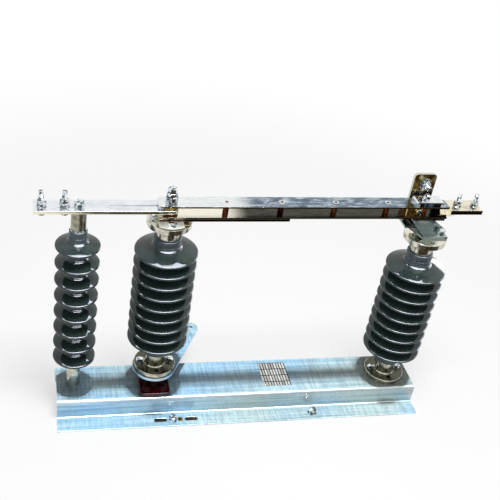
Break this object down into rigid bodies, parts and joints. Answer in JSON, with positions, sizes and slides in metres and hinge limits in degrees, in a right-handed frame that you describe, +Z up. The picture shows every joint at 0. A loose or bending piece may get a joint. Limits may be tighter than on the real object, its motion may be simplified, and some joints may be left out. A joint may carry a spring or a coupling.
{
  "type": "single-pole side-break disconnect switch",
  "caption": "Outdoor high-voltage disconnect switch pole: a turning post swings a double-strap blade sideways out of a fixed contact, over a bent steel base channel.",
  "frame": {"origin": "centre of the four fixing holes, on the underside of the base's flanges", "axes": "+X along the base from the hinge-side terminal to the fixed contact, +Y away from the side that the blade opens to, +Z up"},
  "size_m": [1.064, 0.2752, 0.663],
  "materials": {
    "galvanised_sheet": "bright hot-dip galvanised sheet",
    "galvanised_fitting": "dull galvanised forging",
    "silicone_rubber": "dark grey-green silicone rubber",
    "tinned_copper": "tin-plated copper bar",
    "plated_strap": "bright silver-plated copper strap",
    "copper": "bare copper",
    "brass": "bare brass",
    "red_paint": "glossy dark red paint on cast iron",
    "bright_zinc": "zinc-plated steel",
    "yellow_zinc": "yellow-passivated zinc-plated steel",
    "plain_plate": "plain aluminium"
  },
  "bodies": {
    "frame": {"base_channel": "galvanised_sheet", "rating_plate": "plain_plate", "left_post_foot": "galvanised_fitting", "left_post_sheds": "silicone_rubber", "left_post_cap": "galvanised_fitting", "left_terminal_bar": "tinned_copper", "bearing_housing": "red_paint", "contact_post_foot": "galvanised_fitting", "contact_post_sheds": "silicone_rubber", "contact_post_head": "galvanised_fitting", "contact_bracket": "galvanised_sheet", "stop_plate": "yellow_zinc", "stop_bolt": "bright_zinc", "contact_block": "tinned_copper", "right_terminal_pad": "tinned_copper"},
    "rotor": {"rotor_shaft": "bright_zinc", "crank_lever": "galvanised_sheet", "rotor_post_foot": "galvanised_fitting", "rotor_post_sheds": "silicone_rubber", "rotor_post_head": "galvanised_fitting", "drive_plate": "galvanised_sheet", "drive_bar": "galvanised_sheet", "lower_blade_strap": "plated_strap", "upper_blade_strap": "plated_strap", "blade_spacer_1": "copper", "blade_spacer_2": "copper", "blade_spacer_3": "copper", "blade_spacer_4": "copper", "contact_spacer": "copper", "blade_end_block": "brass", "hinge_bolt": "bright_zinc", "lower_hinge_ring": "copper", "upper_hinge_ring": "copper", "hinge_springs": "bright_zinc", "hinge_washer": "bright_zinc", "hinge_nut": "bright_zinc", "upper_pressure_plate": "plated_strap", "lower_pressure_plate": "plated_strap", "pressure_bolt": "bright_zinc"}
  },
  "joints": [
    {"name": "blade_turn", "type": "hinge", "parent": "frame", "child": "rotor", "pos_m": [-0.233, 0, 0.108], "axis": [0, 0, 1], "range_deg": [-90, 0]}
  ]
}
